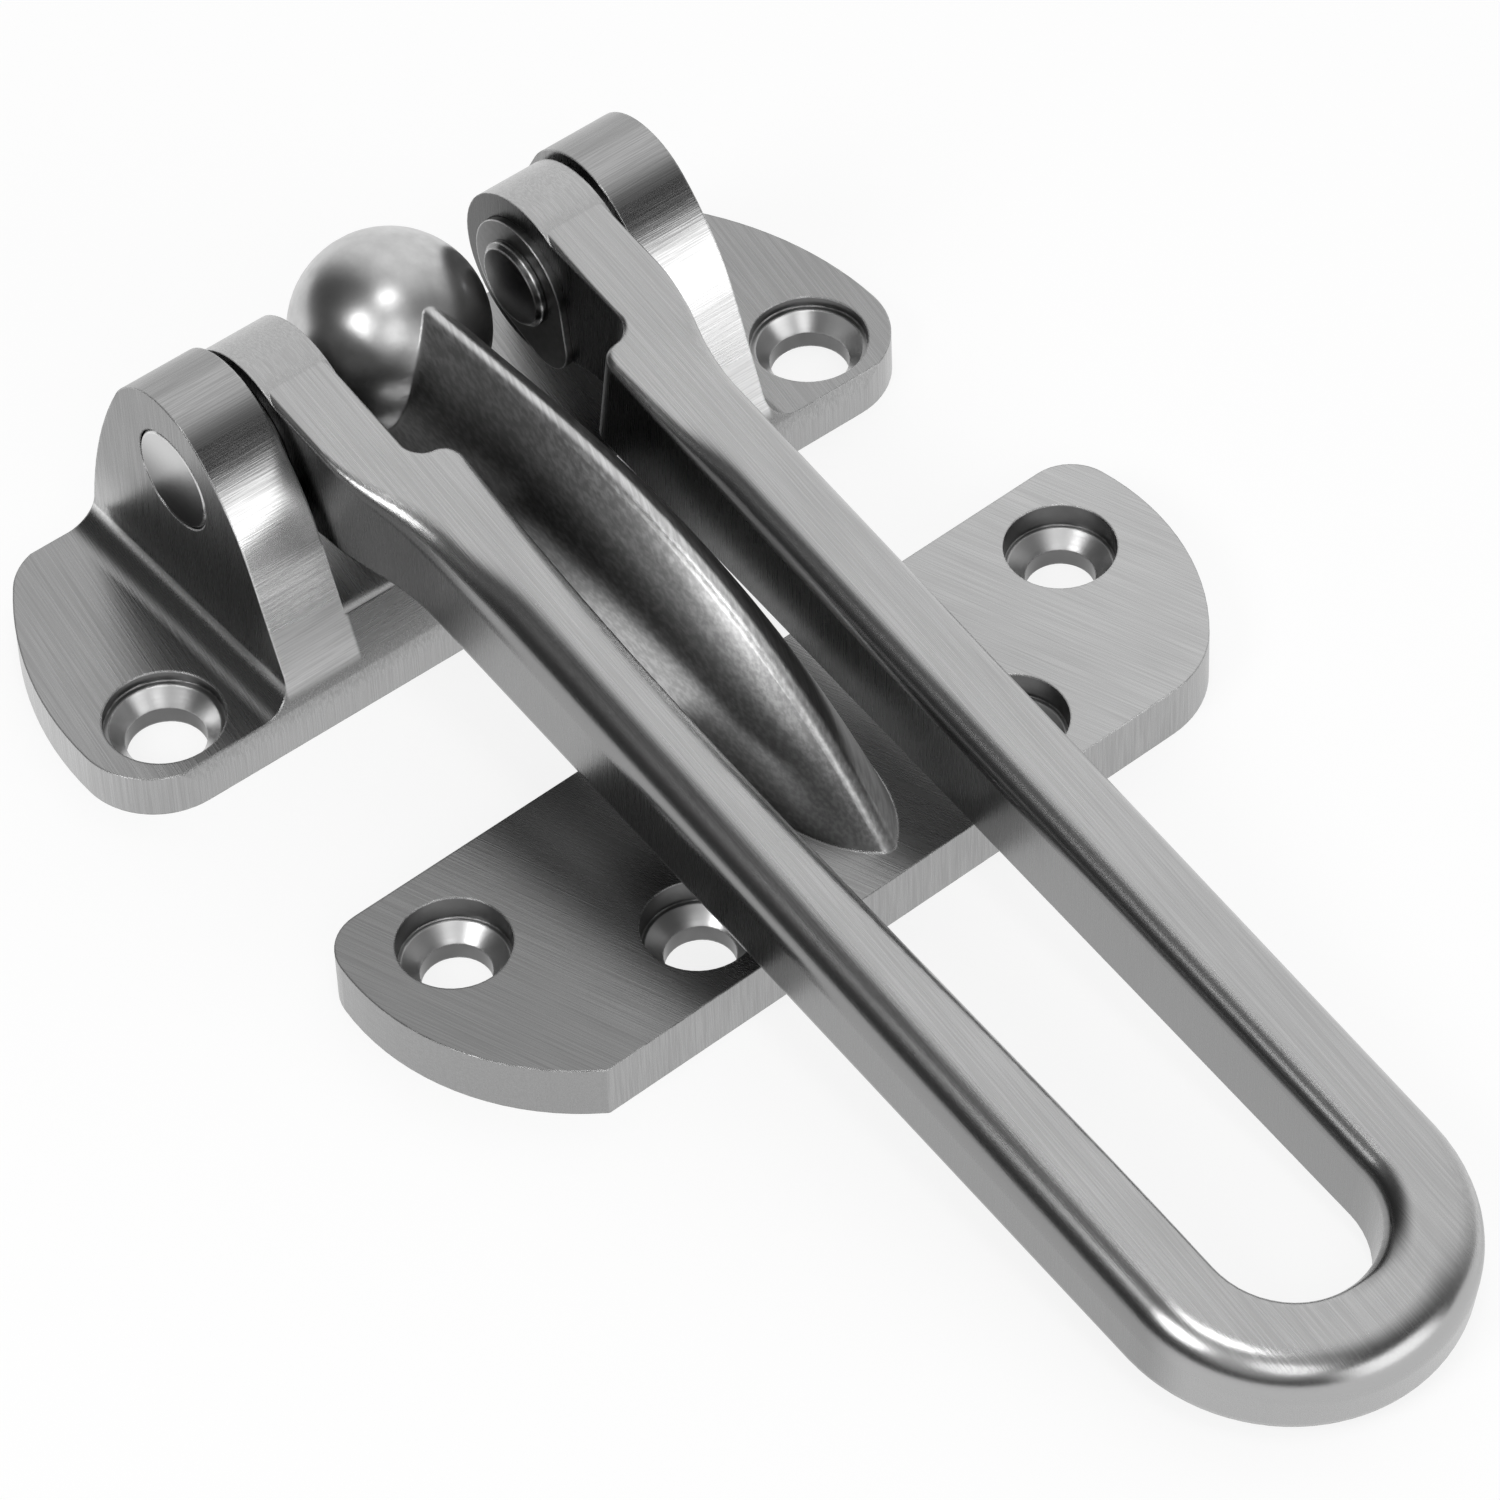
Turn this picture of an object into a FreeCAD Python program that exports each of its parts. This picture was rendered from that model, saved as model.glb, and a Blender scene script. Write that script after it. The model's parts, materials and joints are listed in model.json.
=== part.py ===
import FreeCAD, Part
import math
import os

# Door security latch: a swing bar on a frame-side hinge, and a door-side plate whose
# ball sits between the legs of the bar. Millimetres. X runs from the hinge towards the
# tip of the bar, Y along the hinge axis, Z up from the mounting plane. The origin lies
# on the mounting plane, straight under the hinge axis.

# Driving dimensions
SIZES = {
    "base_thickness": 3.75,
    "base_back": -11.9,
    "base_front": 13.5,
    "base_half_length": 36.4,
    "base_end_radius": 28.0,
    "base_end_middle": 7.0,
    "base_back_corner": 5.3,
    "base_left_corner": 6.2,
    "base_right_corner": 6.2,
    "base_hole_along": 7.8,
    "base_hole_inset": 6.6,
    "base_hole_rim": 4.5,
    "base_hole_seat": 4.05,
    "base_hole_bore": 3.0,
    "base_rim_depth": 0.95,
    "base_seat_depth": 1.35,
    "ear_outer": 22.05,
    "ear_inner": 15.9,
    "ear_fillet": 2.5,
    "ear_top_radius": 6.5,
    "ear_top_back": 0.78,
    "ear_top_rise": 0.66,
    "ear_front_radius": 20.0,
    "ear_front_start": 2.8,
    "ear_front_angle": 20.5,
    "ear_front_blend": 5.0,
    "lip_height": 8.1,
    "lip_thickness": 2.6,
    "lip_hollow_radius": 2.5,
    "pin_height": 17.06,
    "pin_shank": 3.0,
    "pin_head_radius": 4.0,
    "pin_head_thickness": 1.5,
    "pin_tail_radius": 3.48,
    "pin_tail_thickness": 0.74,
    "pin_bevel": 0.35,
    "ear_clearance": 0.02,
    "head_clearance": 0.08,
    "running_clearance": 0.05,
    "washer_thickness": 0.5,
    "washer_radius": 5.5,
    "eye_radius": 7.0,
    "eye_inner": 9.78,
    "friction_thickness": 0.9,
    "friction_seat": 0.3,
    "friction_head_radius": 5.1,
    "friction_tongue_radius": 2.8,
    "friction_tongue_reach": 4.4,
    "friction_tongue_angle": -43.0,
    "bar_angle": 9.34,
    "bar_top": 6.8,
    "bar_reach": 97.1,
    "bar_half_width": 13.6,
    "slot_half_width": 6.5,
    "wide_slot_end": 10.6,
    "narrow_slot_start": 14.0,
    "flare_start": 8.0,
    "flare_end": 20.0,
    "bar_root_thickness": 9.4,
    "bar_tip_thickness": 5.6,
    "bar_root_blend": 8.0,
    "bar_low_round": 1.2,
    "bar_low_round_start": 0.3,
    "bar_outer_round": 2.0,
    "bar_outer_round_start": 0.5,
    "bar_inner_round": 1.2,
    "bar_inner_round_start": 0.3,
    "door_thickness": 4.6,
    "door_back": 31.4,
    "door_front": 54.16,
    "door_half_length": 36.2,
    "door_end_radius": 20.0,
    "door_end_middle": 38.0,
    "door_back_corner": 3.7,
    "door_left_corner": 0.4,
    "door_right_corner": 8.0,
    "door_outer_along": 38.03,
    "door_outer_across": 28.53,
    "door_inner_along": 48.27,
    "door_inner_across": 14.7,
    "door_hole_rim": 4.2,
    "door_hole_seat": 3.9,
    "door_hole_bore": 2.6,
    "door_rim_depth": 2.1,
    "door_seat_depth": 1.0,
    "ball_radius": 7.59,
    "ball_back": 3.66,
    "ball_height": 15.29,
    "door_angle": 2.05,
    "arm_start": -1.0,
    "arm_tip": 52.4,
    "arm_ridge_height": 21.4,
    "arm_fall_power": 3.4,
    "arm_ridge_depth": 0.6,
    "arm_root_half_width": 4.8,
    "arm_half_width": 5.2,
    "arm_full_place": 24.0,
    "arm_flank_depth": 4.24,
    "arm_underside": 9.4,
    "arm_root_depth": 3.0,
    "arm_under_bend": 30.0,
}

document = FreeCAD.newDocument("security_latch")
sheet = document.addObject("Spreadsheet::Sheet", "Sizes")
for row, (alias, value) in enumerate(SIZES.items(), start=1):
    sheet.set(f"A{row}", alias.replace("_", " "))
    sheet.set(f"B{row}", str(value))
    sheet.setAlias(f"B{row}", alias)
document.recompute()


def size(alias):
    return float(sheet.get(alias))


def cell(alias):
    return f"Sizes.{alias}"


Vector = FreeCAD.Vector
FAR = 400.0
MARGIN = 1.0
TOUCH = 1e-4
ARM_SECTIONS = 9
ARM_FLANK_STEPS = (0, 0.12, 0.3, 0.6, 1)

# Outline tools: every outline is a list of lines and arcs in its sketch's own plane


def line(start, end):
    return Part.LineSegment(Vector(*start, 0), Vector(*end, 0))


def arc(centre, start, end):
    """The shorter arc about centre from start to end."""
    radius = math.dist(centre, start)
    middle_x = (start[0] - centre[0]) + (end[0] - centre[0])
    middle_y = (start[1] - centre[1]) + (end[1] - centre[1])
    reach = math.hypot(middle_x, middle_y)
    middle = (centre[0] + radius * middle_x / reach, centre[1] + radius * middle_y / reach)
    return Part.Arc(Vector(*start, 0), Vector(*middle, 0), Vector(*end, 0))


def circle(centre, radius):
    return Part.Circle(Vector(*centre, 0), Vector(0, 0, 1), radius)


def rectangle(low, high):
    corners = [low, (high[0], low[1]), high, (low[0], high[1])]
    return [line(corners[index - 1], corners[index]) for index in range(4)]


def towards(start, end, distance):
    """The point at a distance from start on the way to end."""
    full = math.dist(start, end)
    return (
        start[0] + (end[0] - start[0]) * distance / full,
        start[1] + (end[1] - start[1]) * distance / full,
    )


def rounded_polygon(corners):
    """A closed outline through corners (x, y, radius), each rounded by a tangent arc."""
    count = len(corners)
    starts, ends, centres = [], [], []
    for index, (x, y, radius) in enumerate(corners):
        before = corners[index - 1][:2]
        after = corners[(index + 1) % count][:2]
        corner = (x, y)
        if radius == 0:
            starts.append(corner)
            ends.append(corner)
            centres.append(None)
            continue
        one = towards(corner, before, 1.0)
        two = towards(corner, after, 1.0)
        half_angle = math.asin(math.dist(one, two) / 2)
        setback = radius / math.tan(half_angle)
        starts.append(towards(corner, before, setback))
        ends.append(towards(corner, after, setback))
        middle = ((one[0] + two[0]) / 2, (one[1] + two[1]) / 2)
        centres.append(towards(corner, middle, radius / math.sin(half_angle)))
    outline = []
    for index in range(count):
        if centres[index] is not None:
            outline.append(arc(centres[index], starts[index], ends[index]))
        following = (index + 1) % count
        if math.dist(ends[index], starts[following]) > TOUCH:
            outline.append(line(ends[index], starts[following]))
    return outline


def plate_outline(name):
    """A plate with straight front and back, whose two ends are large arcs with corners."""
    back, front = size(f"{name}_back"), size(f"{name}_front")
    end_radius = size(f"{name}_end_radius")
    end_centre = (size(f"{name}_end_middle"), size(f"{name}_half_length") - end_radius)

    def corner_centre(x, radius):
        rise = math.sqrt((end_radius - radius) ** 2 - (x - end_centre[0]) ** 2)
        return (x, end_centre[1] + rise)

    back_radius = size(f"{name}_back_corner")
    back_centre = corner_centre(back + back_radius, back_radius)
    back_touch = towards(end_centre, back_centre, end_radius)
    outline = [line((back, -back_centre[1]), (back, back_centre[1]))]
    front_ends = []
    for side, hand in ((1, "right"), (-1, "left")):
        front_radius = size(f"{name}_{hand}_corner")
        front_centre = corner_centre(front - front_radius, front_radius)
        front_touch = towards(end_centre, front_centre, end_radius)
        for piece in (
            (back_centre, (back, back_centre[1]), back_touch),
            (end_centre, back_touch, front_touch),
            (front_centre, front_touch, (front, front_centre[1])),
        ):
            outline.append(arc(*[(x, side * y) for x, y in piece]))
        front_ends.append((front, side * front_centre[1]))
    outline.append(line(*front_ends))
    return outline


# Feature tools


def new_body(name):
    body = document.addObject("PartDesign::Body", name)
    body.Label = name
    return body


def sketch_on(body, role, name, outline, offset=(0, 0, 0)):
    plane = next(feature for feature in body.Origin.OriginFeatures if feature.Role == role)
    sketch = body.newObject("Sketcher::SketchObject", name)
    sketch.AttachmentSupport = [(plane, "")]
    sketch.MapMode = "FlatFace"
    sketch.AttachmentOffset = FreeCAD.Placement(Vector(*offset), FreeCAD.Rotation())
    sketch.addGeometry(outline, False)
    sketch.Visibility = False
    return sketch


def pad(body, sketch, name, length, symmetric=False, reverse=False):
    feature = body.newObject("PartDesign::Pad", name)
    feature.Profile = sketch
    feature.setExpression("Length", length)
    feature.SideType = "Symmetric" if symmetric else "One side"
    feature.Reversed = reverse
    return feature


def pocket_through(body, sketch, name):
    feature = body.newObject("PartDesign::Pocket", name)
    feature.Profile = sketch
    feature.Type = "Length"
    feature.SideType = "Symmetric"
    feature.Length = FAR
    return feature


def pocket(body, sketch, name, length, symmetric=False, taper=0.0):
    feature = body.newObject("PartDesign::Pocket", name)
    feature.Profile = sketch
    feature.Type = "Length"
    feature.SideType = "Symmetric" if symmetric else "One side"
    feature.setExpression("Length", length)
    feature.TaperAngle = taper
    return feature


def keep_inside(body, role, name, outline):
    """Cuts away everything outside an outline, all the way through."""
    frame = rectangle((-FAR / 2, -FAR / 2), (FAR / 2, FAR / 2))
    sketch = sketch_on(body, role, f"{name}_outline", frame + outline)
    return pocket_through(body, sketch, name)


def screw_holes(body, name, top, centres):
    """Holes for countersunk screws: a straight rim, a conical seat and a bore."""
    rim_depth = size(f"{name}_rim_depth")
    seat_depth = size(f"{name}_seat_depth")
    seat, bore = size(f"{name}_hole_seat"), size(f"{name}_hole_bore")
    rims = [circle(centre, size(f"{name}_hole_rim")) for centre in centres]
    rim_sketch = sketch_on(body, "XY_Plane", f"{name}_rims", rims, (0, 0, top))
    pocket(body, rim_sketch, f"{name}_rim_cut", cell(f"{name}_rim_depth"))
    seats = [circle(centre, seat) for centre in centres]
    seat_sketch = sketch_on(body, "XY_Plane", f"{name}_seats", seats, (0, 0, top - rim_depth))
    slope = -math.degrees(math.atan2(seat - bore, seat_depth))
    pocket(body, seat_sketch, f"{name}_seat_cut", cell(f"{name}_seat_depth"), taper=slope)
    bores = [circle(centre, bore) for centre in centres]
    bore_sketch = sketch_on(body, "XY_Plane", f"{name}_bores", bores)
    pocket_through(body, bore_sketch, f"{name}_bore_cut")


# Hinge base


def front_view_outline():
    """The base seen from the front: flanges, fillets and the outer faces of the ears."""
    half = size("base_half_length") + MARGIN
    thickness, outer, fillet = size("base_thickness"), size("ear_outer"), size("ear_fillet")
    top = size("pin_height") + size("ear_top_rise") + size("ear_top_radius") + MARGIN
    right = [(half, 0, 0), (half, thickness, 0), (outer, thickness, fillet), (outer, top, 0)]
    left = [(-y, z, radius) for y, z, radius in reversed(right)]
    return rounded_polygon(right + left)


def side_view_outline():
    """The base seen from the side: the ear's back, top and sloping front."""
    back, front = size("base_back"), size("base_front")
    top_radius, front_radius = size("ear_top_radius"), size("ear_front_radius")
    top_centre = (-size("ear_top_back"), size("pin_height") + size("ear_top_rise"))

    # The back is an arc that rises square from the mounting plane and touches the top circle
    ahead = top_centre[0] - back
    back_radius = (ahead**2 + top_centre[1] ** 2 - top_radius**2) / (2 * (ahead - top_radius))
    back_centre = (back + back_radius, 0)
    back_touch = towards(back_centre, top_centre, back_radius)

    lean = math.radians(size("ear_front_angle"))
    normal = (math.cos(lean), math.sin(lean))
    along = (-math.sin(lean), math.cos(lean))
    corner = (front, size("ear_front_start"))
    face = normal[0] * corner[0] + normal[1] * corner[1]
    inward = front_radius - (face - normal[0] * top_centre[0] - normal[1] * top_centre[1])
    down = math.sqrt((front_radius - top_radius) ** 2 - inward**2)
    front_centre = (
        top_centre[0] - inward * normal[0] - down * along[0],
        top_centre[1] - inward * normal[1] - down * along[1],
    )
    slope_end = (
        front_centre[0] + front_radius * normal[0],
        front_centre[1] + front_radius * normal[1],
    )
    front_touch = towards(front_centre, top_centre, front_radius)
    setback = size("ear_front_blend") * math.tan(lean / 2)
    blend_start = (front, corner[1] - setback)
    blend_end = towards(corner, slope_end, setback)
    blend_centre = (front - size("ear_front_blend"), blend_start[1])
    return [
        line((back, 0), (front, 0)),
        line((front, 0), blend_start),
        arc(blend_centre, blend_start, blend_end),
        line(blend_end, slope_end),
        arc(front_centre, slope_end, front_touch),
        arc(top_centre, front_touch, back_touch),
        arc(back_centre, back_touch, (back, 0)),
    ]


def gap_outline():
    """The space between the ears: open to the back and top, closed in front by the lip."""
    floor = size("base_thickness")
    lip_top = size("lip_height")
    front = size("base_front")
    lean = math.tan(math.radians(size("ear_front_angle")))
    edge = front - (lip_top - size("ear_front_start")) * lean
    behind = front - size("lip_thickness")
    corners = [
        (-FAR / 4, floor, 0),
        (behind - size("lip_thickness"), floor, size("lip_hollow_radius")),
        (edge, lip_top, 0),
        (FAR / 4, lip_top, 0),
        (FAR / 4, FAR / 4, 0),
        (-FAR / 4, FAR / 4, 0),
    ]
    return rounded_polygon(corners)


def make_hinge_base():
    body = new_body("hinge_base")
    blank = sketch_on(body, "YZ_Plane", "base_front_view", front_view_outline())
    span = f"4 * ({cell('base_front')} - {cell('base_back')})"
    pad(body, blank, "base_stock", span, symmetric=True)
    keep_inside(body, "XZ_Plane", "base_side_trim", side_view_outline())
    keep_inside(body, "XY_Plane", "base_plan_trim", plate_outline("base"))
    gap = sketch_on(body, "XZ_Plane", "base_gap_outline", gap_outline())
    pocket(body, gap, "base_gap", f"2 * {cell('ear_inner')}", symmetric=True)
    along, across = size("base_hole_along"), size("base_half_length") - size("base_hole_inset")
    screw_holes(body, "base", size("base_thickness"), [(along, -across), (along, across)])
    axis = (0, size("pin_height"))
    bore = circle(axis, size("pin_shank") + size("ear_clearance"))
    pocket_through(body, sketch_on(body, "XZ_Plane", "ear_bore_outline", [bore]), "ear_bores")
    seat = circle(axis, size("pin_head_radius") + size("head_clearance"))
    for side in (-1, 1):
        name = "left" if side < 0 else "right"
        inner_face = size("ear_outer") - size("pin_head_thickness")
        sketch = sketch_on(
            body, "XZ_Plane", f"{name}_head_seat_outline", [seat], (0, 0, -side * inner_face)
        )
        cut = pocket(body, sketch, f"{name}_head_seat", cell("pin_head_thickness"))
        cut.Reversed = side < 0
    return body


# Swing bar, modelled flat in its own frame with the hinge axis at the origin


def upper_side(place):
    """Height of the bar's top, the same all along the bar."""
    return size("bar_top")


def underside(place):
    """Height of the bar's underside at a place along the bar."""
    tip = size("bar_reach") + size("bar_half_width")
    root, end = size("bar_root_thickness"), size("bar_tip_thickness")
    return size("bar_top") - root + (root - end) * place / tip


def bar_side_outline():
    """The bar seen from the side: a round eye, a flat top and a tapering underside."""
    radius, top = size("eye_radius"), size("bar_top")
    end = size("bar_reach") + 2 * size("bar_half_width")
    blend = size("bar_root_blend")
    fall = underside(1) - underside(0)
    steep = math.hypot(1, fall)
    # The blend circle touches the underside from below and dips a little into the eye
    offset = underside(0) - blend * steep
    reach = top + blend
    quad_a = 1 + fall**2
    quad_b = 2 * fall * offset
    quad_c = offset**2 - reach**2
    blend_x = (-quad_b + math.sqrt(quad_b**2 - 4 * quad_a * quad_c)) / (2 * quad_a)
    blend_centre = (blend_x, offset + fall * blend_x)
    flat_touch = (
        blend_centre[0] - blend * fall / steep,
        blend_centre[1] + blend / steep,
    )
    out = (radius**2 - blend**2 + reach**2) / (2 * reach)
    up = math.sqrt(radius**2 - out**2)
    ahead, level = blend_centre[0] / reach, blend_centre[1] / reach
    eye_touch = (out * ahead - up * level, out * level + up * ahead)
    flat_start = (math.sqrt(radius**2 - top**2), top)
    left = (-radius, 0)
    return [
        line(flat_start, (end, top)),
        line((end, top), (end, underside(end))),
        line((end, underside(end)), flat_touch),
        arc(blend_centre, flat_touch, eye_touch),
        arc((0, 0), eye_touch, left),
        arc((0, 0), left, flat_start),
    ]


def s_curve(start, end):
    """Two equal tangent arcs that carry a line along X from one width to another."""
    run = end[0] - start[0]
    rise = end[1] - start[1]
    middle = ((start[0] + end[0]) / 2, (start[1] + end[1]) / 2)
    radius = (run**2 + rise**2) / (4 * rise)
    return [
        arc((start[0], start[1] + radius), start, middle),
        arc((end[0], end[1] - radius), middle, end),
    ]


def bar_plan_outline():
    """The outer edge of the bar seen from above, wider at the eyes."""
    reach, half = size("bar_reach"), size("bar_half_width")
    eye_outer = size("ear_inner") - size("washer_thickness") - 2 * size("running_clearance")
    back = -2 * size("eye_radius")
    flare = (size("flare_start"), eye_outer)
    straight = (size("flare_end"), half)
    outline = []
    for side in (1, -1):
        curve = s_curve((flare[0], side * flare[1]), (straight[0], side * straight[1]))
        outline += curve
        outline.append(line((back, side * eye_outer), (flare[0], side * flare[1])))
        outline.append(line((straight[0], side * half), (reach, side * half)))
        outline.append(arc((reach, 0), (reach, side * half), (reach + half, 0)))
    outline.append(line((back, -eye_outer), (back, eye_outer)))
    return outline


def slot_outline():
    """The slot: wide between the eyes, narrow along the legs, round at its end."""
    reach, half = size("bar_reach"), size("slot_half_width")
    wide = size("eye_inner")
    wide_end, narrow_start = size("wide_slot_end"), size("narrow_slot_start")
    back = -3 * size("eye_radius")
    outline = []
    for side in (1, -1):
        outline.append(line((back, side * wide), (wide_end, side * wide)))
        outline += s_curve((wide_end, side * wide), (narrow_start, side * half))
        outline.append(line((narrow_start, side * half), (reach, side * half)))
        outline.append(arc((reach, 0), (reach, side * half), (reach + half, 0)))
    outline.append(line((back, -wide), (back, wide)))
    return outline


def tongue_outline(clearance):
    """A large circle round the pin joined by tangent lines to a smaller one."""
    large = size("friction_head_radius") + clearance
    small = size("friction_tongue_radius") + clearance
    reach = size("friction_tongue_reach")
    turn = math.radians(size("friction_tongue_angle"))
    spread = math.acos((large - small) / reach)
    small_centre = (reach * math.cos(turn), reach * math.sin(turn))

    def on_circle(centre, radius, angle):
        return (centre[0] + radius * math.cos(angle), centre[1] + radius * math.sin(angle))

    one, two = turn + spread, turn - spread
    far_side = on_circle((0, 0), large, turn + math.pi)
    near_side = on_circle(small_centre, small, turn)
    return [
        arc((0, 0), on_circle((0, 0), large, one), far_side),
        arc((0, 0), far_side, on_circle((0, 0), large, two)),
        line(on_circle((0, 0), large, two), on_circle(small_centre, small, two)),
        arc(small_centre, on_circle(small_centre, small, two), near_side),
        arc(small_centre, near_side, on_circle(small_centre, small, one)),
        line(on_circle(small_centre, small, one), on_circle((0, 0), large, one)),
    ]


def bar_placement():
    rotation = FreeCAD.Rotation(Vector(0, 1, 0), size("bar_angle"))
    return FreeCAD.Placement(Vector(0, 0, size("pin_height")), rotation)


def growing_rounds(shape, height, outside, first, full):
    """Radii for the edges along the bar, small at the eyes and growing over the flare."""
    reach, start, end = size("bar_reach"), size("flare_start"), size("flare_end")
    rounds = []
    for number, edge in enumerate(shape.Edges, start=1):
        ends = [vertex.Point for vertex in (edge.Vertexes[0], edge.Vertexes[-1])]
        middle = edge.valueAt((edge.FirstParameter + edge.LastParameter) / 2)
        if any(abs(point.z - height(point.x)) > TOUCH for point in (middle, *ends)):
            continue
        if abs(ends[0].x - ends[1].x) < TOUCH:
            continue
        distance = math.hypot(max(0, middle.x - reach), middle.y)
        if (distance > size("eye_inner") + TOUCH) != outside:
            continue
        # Both radii follow the way round the bar: out along one leg, back along the other
        ends.sort(key=lambda point: point.x, reverse=middle.y < 0)
        shares = [min(1, max(0, (point.x - start) / (end - start))) for point in ends]
        rounds.append((number, *[first + (full - first) * share for share in shares]))
    return rounds


def make_bar_blank():
    """The bar before its holes, as one solid with its edges rounded."""
    body = new_body("bar_blank")
    side = sketch_on(body, "XZ_Plane", "bar_side_view", bar_side_outline())
    pad(body, side, "bar_stock", f"2 * {cell('ear_inner')}", symmetric=True)
    keep_inside(body, "XY_Plane", "bar_plan_trim", bar_plan_outline())
    slot = sketch_on(body, "XY_Plane", "bar_slot_outline", slot_outline())
    pocket_through(body, slot, "bar_slot")
    document.recompute()
    blank = body
    for name, height, outside in (
        ("bar_low_round", underside, True),
        ("bar_outer_round", upper_side, True),
        ("bar_inner_round", upper_side, False),
    ):
        rounded = document.addObject("Part::Fillet", f"{name}ing")
        rounded.Base = blank
        rounded.Edges = growing_rounds(
            blank.Shape, height, outside, size(f"{name}_start"), size(name)
        )
        document.recompute()
        blank = rounded
    return blank


def make_swing_bar():
    body = new_body("swing_bar")
    body.BaseFeature = make_bar_blank()
    bore = circle((0, 0), size("pin_shank") + size("running_clearance"))
    pocket_through(body, sketch_on(body, "XZ_Plane", "eye_bore_outline", [bore]), "eye_bores")
    seat = sketch_on(
        body, "XZ_Plane", "friction_seat_outline", tongue_outline(size("running_clearance"))
    )
    seat_span = f"2 * ({cell('eye_inner')} + {cell('friction_seat')})"
    pocket(body, seat, "friction_seats", seat_span, symmetric=True)
    body.Placement = bar_placement()
    body.setExpression("Placement.Base.z", cell("pin_height"))
    return body


# Pins, washers and friction plates, one set to each side


def across(body, side, distance):
    """Places a body that was drawn on the middle plane at its distance from it."""
    turn = FreeCAD.Rotation(Vector(0, 0, 1), 0 if side > 0 else 180)
    body.Placement = FreeCAD.Placement(Vector(0, side * distance, size("pin_height")), turn)
    body.setExpression("Placement.Base.z", cell("pin_height"))


def make_pin(side):
    body = new_body("left_hinge_pin" if side < 0 else "right_hinge_pin")
    bevel = size("pin_bevel")
    head, shank, tail = size("pin_head_radius"), size("pin_shank"), size("pin_tail_radius")
    length = size("ear_outer") - tail_start()
    neck = length - size("pin_head_thickness")
    tail_end = size("pin_tail_thickness")
    corners = [
        (0, 0),
        (0, tail - bevel),
        (bevel, tail),
        (tail_end, tail),
        (tail_end, shank),
        (neck, shank),
        (neck, head),
        (length - bevel / 2, head),
        (length, head - bevel / 2),
        (length, 0),
    ]
    outline = [line(corners[index - 1], corners[index]) for index in range(len(corners))]
    sketch = sketch_on(body, "YZ_Plane", f"{body.Label}_profile", outline)
    turned = body.newObject("PartDesign::Revolution", f"{body.Label}_turned")
    turned.Profile = sketch
    turned.ReferenceAxis = (sketch, ["H_Axis"])
    turned.Angle = 360
    across(body, side, tail_start())
    return body


def tail_start():
    """Distance from the middle plane to the inner end of each pin."""
    plate_face = size("eye_inner") + size("friction_seat") - size("friction_thickness")
    return plate_face - size("running_clearance") - size("pin_tail_thickness")


def make_washer(side):
    body = new_body("left_spacer_washer" if side < 0 else "right_spacer_washer")
    ring = [
        circle((0, 0), size("washer_radius")),
        circle((0, 0), size("pin_shank") + size("running_clearance")),
    ]
    sketch = sketch_on(body, "XZ_Plane", f"{body.Label}_ring", ring)
    pad(body, sketch, f"{body.Label}_pad", cell("washer_thickness"), reverse=True)
    start = size("ear_inner") - size("running_clearance") - size("washer_thickness")
    across(body, side, start)
    return body


def make_friction_plate(side):
    body = new_body("left_friction_plate" if side < 0 else "right_friction_plate")
    hole = circle((0, 0), size("pin_shank") + size("running_clearance"))
    sketch = sketch_on(
        body, "XZ_Plane", f"{body.Label}_shape", tongue_outline(0.0) + [hole]
    )
    pad(body, sketch, f"{body.Label}_pad", cell("friction_thickness"), reverse=side > 0)
    seat = side * (size("eye_inner") + size("friction_seat") - size("friction_thickness"))
    placement = bar_placement()
    body.Placement = FreeCAD.Placement(placement.Base + Vector(0, seat, 0), placement.Rotation)
    body.setExpression("Placement.Base.z", cell("pin_height"))
    return body


# Door plate with its arm and ball


def arm_ridge(place):
    """Height of the arm's ridge: level behind, then falling ever more steeply to the foot."""
    start, foot = size("arm_start"), size("door_thickness")
    share = (place - start) / (size("arm_tip") - start)
    return foot + (size("arm_ridge_height") - foot) * (1 - share ** size("arm_fall_power"))


def arm_section(place):
    """The arm's section at a place along X: a narrow rounded ridge and full flanks."""
    ridge = arm_ridge(place)
    base = size("door_thickness") / 2
    start, full_place = size("arm_start"), size("arm_full_place")
    share = min(1.0, (place - start) / (full_place - start))
    easing = share * share * (3 - 2 * share)
    narrow = size("arm_root_half_width")
    full = narrow + (size("arm_half_width") - narrow) * easing

    def flank(depth):
        half = full * (1 - math.exp(-depth / size("arm_flank_depth")))
        return (half, ridge - depth)

    shoulder = size("arm_ridge_depth")
    depths = [shoulder + (ridge - base - shoulder) * part for part in ARM_FLANK_STEPS]
    points = [flank(depth) for depth in depths]
    sides = []
    for sign in (1, -1):
        curve = Part.BSplineCurve()
        curve.interpolate([Vector(sign * y, z, 0) for y, z in points])
        sides.append(curve)
    half, height = points[0]
    peak = ridge - shoulder / 2
    top = Part.Arc(Vector(half, height, 0), Vector(0, peak, 0), Vector(-half, height, 0))
    low_half = points[-1][0]
    return [top, sides[0], line((low_half, base), (-low_half, base)), sides[1]]


def under_arm_outline():
    """The space under the arm, from behind the ball to the back of the door plate."""
    back, under = size("door_back"), size("arm_underside")
    start = size("arm_start")
    corners = [
        (-FAR / 8, -FAR / 8, 0),
        (back, -FAR / 8, 0),
        (back, size("arm_root_depth"), 0),
        ((start + back) / 2, under, size("arm_under_bend")),
        (-FAR / 8, under, 0),
    ]
    return rounded_polygon(corners)


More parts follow.
